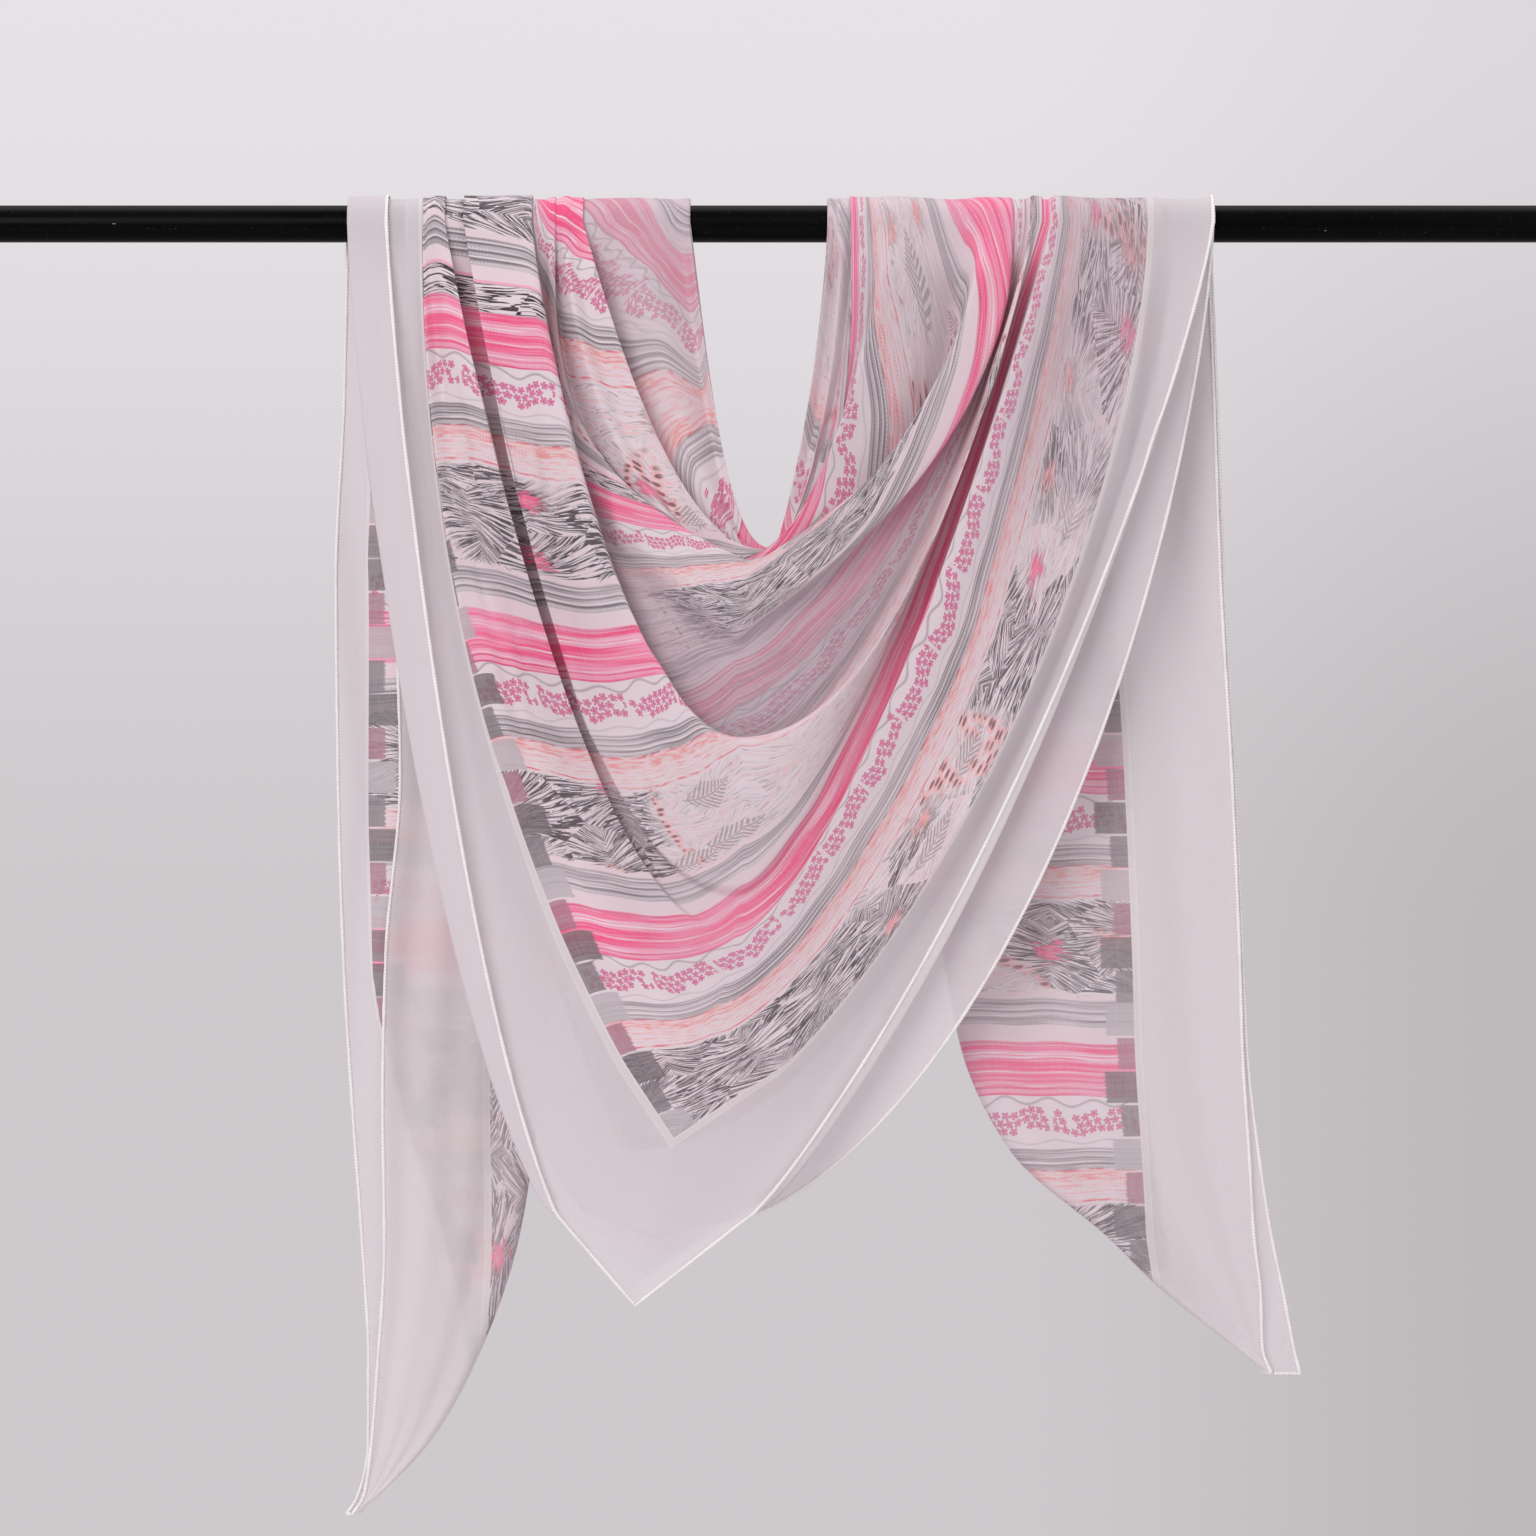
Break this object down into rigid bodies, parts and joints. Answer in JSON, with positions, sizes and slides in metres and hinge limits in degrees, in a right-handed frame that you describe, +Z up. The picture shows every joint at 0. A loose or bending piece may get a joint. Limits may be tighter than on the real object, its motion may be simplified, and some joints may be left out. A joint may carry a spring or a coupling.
{
  "type": "khimar scarf on a rod",
  "caption": "Large sheer square scarf with a striped print and a plain margin, folded corner to corner and hung over a round rod, its tails falling behind.",
  "frame": {"origin": "on the rod's axis, halfway along it", "axes": "+X along the rod towards the viewer's right, +Z up, front of the scarf towards -Y"},
  "size_m": [1.1, 0.0969, 0.8009],
  "materials": {
    "black_paint": "black gloss paint over wood",
    "printed_cloth": "sheer plain weave, printed, with a narrow rolled hem",
    "inner_cloth": "sheer plain weave, printed, with a narrow rolled hem",
    "left_inner_cloth": "sheer plain weave, printed, with a narrow rolled hem",
    "left_outer_cloth": "sheer plain weave, printed, with a narrow rolled hem",
    "right_inner_cloth": "sheer plain weave, printed, with a narrow rolled hem",
    "right_outer_cloth": "sheer plain weave, printed, with a narrow rolled hem"
  },
  "bodies": {
    "root": {"rod": "black_paint", "front_outer": "printed_cloth", "front_inner": "inner_cloth", "left_tail_inner": "left_inner_cloth", "left_tail_outer": "left_outer_cloth", "right_tail_inner": "right_inner_cloth", "right_tail_outer": "right_outer_cloth"}
  },
  "joints": []
}
